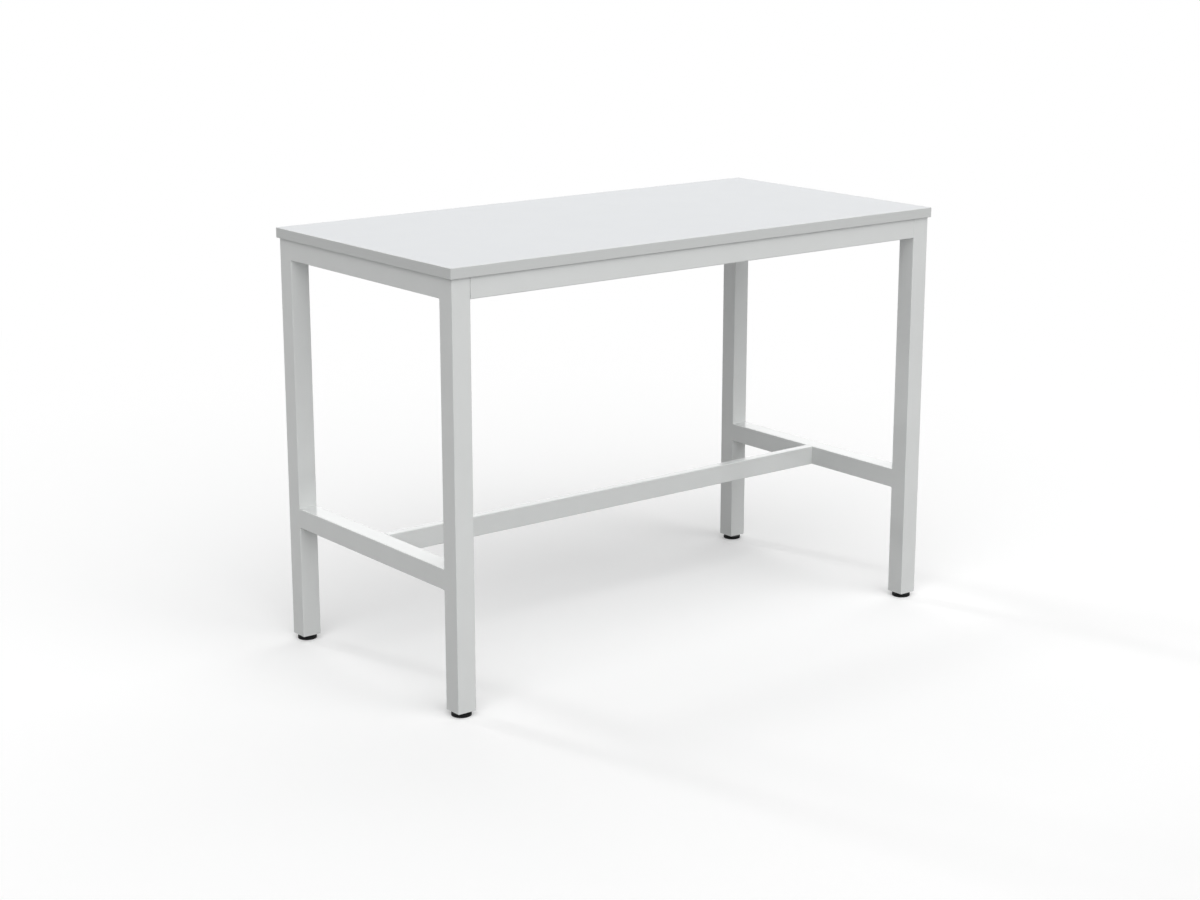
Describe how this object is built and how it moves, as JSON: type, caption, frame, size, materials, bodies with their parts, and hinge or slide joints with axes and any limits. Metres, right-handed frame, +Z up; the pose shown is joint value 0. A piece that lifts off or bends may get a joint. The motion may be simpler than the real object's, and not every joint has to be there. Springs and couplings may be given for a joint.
{
  "type": "standing meeting table",
  "caption": "Bar-height meeting table: white laminate top on a square-tube steel frame with a footrest stretcher and screw feet.",
  "frame": {"origin": "on the floor under the middle of the top, at the foot pads' undersides", "axes": "+X along the length to the right, +Y to the rear, +Z up; the picture's nearest leg is at -X, -Y"},
  "size_m": [1.5, 0.75, 1.05],
  "materials": {
    "white_laminate": "melamine-faced particleboard, fine matt texture",
    "white_edging": "extruded ABS edging, satin",
    "white_powder_coat": "satin white powder coat on steel tube",
    "zinc_steel": "bright zinc-plated steel",
    "black_nylon": "moulded black nylon"
  },
  "bodies": {
    "frame": {"tabletop_board": "white_laminate", "edge_band_front": "white_edging", "edge_band_rear": "white_edging", "edge_band_left": "white_edging", "edge_band_right": "white_edging", "leg_front_left": "white_powder_coat", "leg_front_right": "white_powder_coat", "leg_rear_left": "white_powder_coat", "leg_rear_right": "white_powder_coat", "end_rail_left": "white_powder_coat", "crossbar_left": "white_powder_coat", "end_rail_right": "white_powder_coat", "crossbar_right": "white_powder_coat", "long_rail_front": "white_powder_coat", "long_rail_rear": "white_powder_coat", "footrest_stretcher": "white_powder_coat", "spigot_front_left": "white_powder_coat", "spigot_front_right": "white_powder_coat", "spigot_rear_left": "white_powder_coat", "spigot_rear_right": "white_powder_coat", "spigot_footrest_left": "white_powder_coat", "spigot_footrest_right": "white_powder_coat", "foot_plug_front_left": "white_powder_coat", "foot_plug_front_right": "white_powder_coat", "foot_plug_rear_left": "white_powder_coat", "foot_plug_rear_right": "white_powder_coat", "fixing_tab_front_1": "white_powder_coat", "fixing_tab_front_2": "white_powder_coat", "fixing_tab_front_3": "white_powder_coat", "fixing_tab_rear_1": "white_powder_coat", "fixing_tab_rear_2": "white_powder_coat", "fixing_tab_rear_3": "white_powder_coat", "fixing_tab_left": "white_powder_coat", "fixing_tab_right": "white_powder_coat", "bolt_front_left": "zinc_steel", "bolt_front_right": "zinc_steel", "bolt_rear_left": "zinc_steel", "bolt_rear_right": "zinc_steel", "bolt_footrest_left": "zinc_steel", "bolt_footrest_right": "zinc_steel", "top_screw_front_1": "zinc_steel", "top_screw_front_2": "zinc_steel", "top_screw_front_3": "zinc_steel", "top_screw_rear_1": "zinc_steel", "top_screw_rear_2": "zinc_steel", "top_screw_rear_3": "zinc_steel", "top_screw_left": "zinc_steel", "top_screw_right": "zinc_steel"},
    "pad_front_left": {"foot_pad_front_left": "black_nylon"},
    "stud_front_left": {"foot_stud_front_left": "zinc_steel"},
    "pad_front_right": {"foot_pad_front_right": "black_nylon"},
    "stud_front_right": {"foot_stud_front_right": "zinc_steel"},
    "pad_rear_left": {"foot_pad_rear_left": "black_nylon"},
    "stud_rear_left": {"foot_stud_rear_left": "zinc_steel"},
    "pad_rear_right": {"foot_pad_rear_right": "black_nylon"},
    "stud_rear_right": {"foot_stud_rear_right": "zinc_steel"}
  },
  "joints": [
    {"name": "front_left_foot_travel", "type": "slide", "parent": "frame", "child": "pad_front_left", "axis": [0, 0, -1], "range_m": [0, 0.015]},
    {"name": "front_left_foot_turn", "type": "hinge", "parent": "pad_front_left", "child": "stud_front_left", "pos_m": [-0.719, -0.344, 0], "axis": [0, 0, -1], "range_deg": [0, 3600]},
    {"name": "front_right_foot_travel", "type": "slide", "parent": "frame", "child": "pad_front_right", "axis": [0, 0, -1], "range_m": [0, 0.015]},
    {"name": "front_right_foot_turn", "type": "hinge", "parent": "pad_front_right", "child": "stud_front_right", "pos_m": [0.719, -0.344, 0], "axis": [0, 0, -1], "range_deg": [0, 3600]},
    {"name": "rear_left_foot_travel", "type": "slide", "parent": "frame", "child": "pad_rear_left", "axis": [0, 0, -1], "range_m": [0, 0.015]},
    {"name": "rear_left_foot_turn", "type": "hinge", "parent": "pad_rear_left", "child": "stud_rear_left", "pos_m": [-0.719, 0.344, 0], "axis": [0, 0, -1], "range_deg": [0, 3600]},
    {"name": "rear_right_foot_travel", "type": "slide", "parent": "frame", "child": "pad_rear_right", "axis": [0, 0, -1], "range_m": [0, 0.015]},
    {"name": "rear_right_foot_turn", "type": "hinge", "parent": "pad_rear_right", "child": "stud_rear_right", "pos_m": [0.719, 0.344, 0], "axis": [0, 0, -1], "range_deg": [0, 3600]}
  ],
  "couplings": [
    {"joint": "front_left_foot_turn", "follows": "front_left_foot_travel", "rad_per_m": 4188.8},
    {"joint": "front_right_foot_turn", "follows": "front_right_foot_travel", "rad_per_m": 4188.8},
    {"joint": "rear_left_foot_turn", "follows": "rear_left_foot_travel", "rad_per_m": 4188.8},
    {"joint": "rear_right_foot_turn", "follows": "rear_right_foot_travel", "rad_per_m": 4188.8}
  ]
}
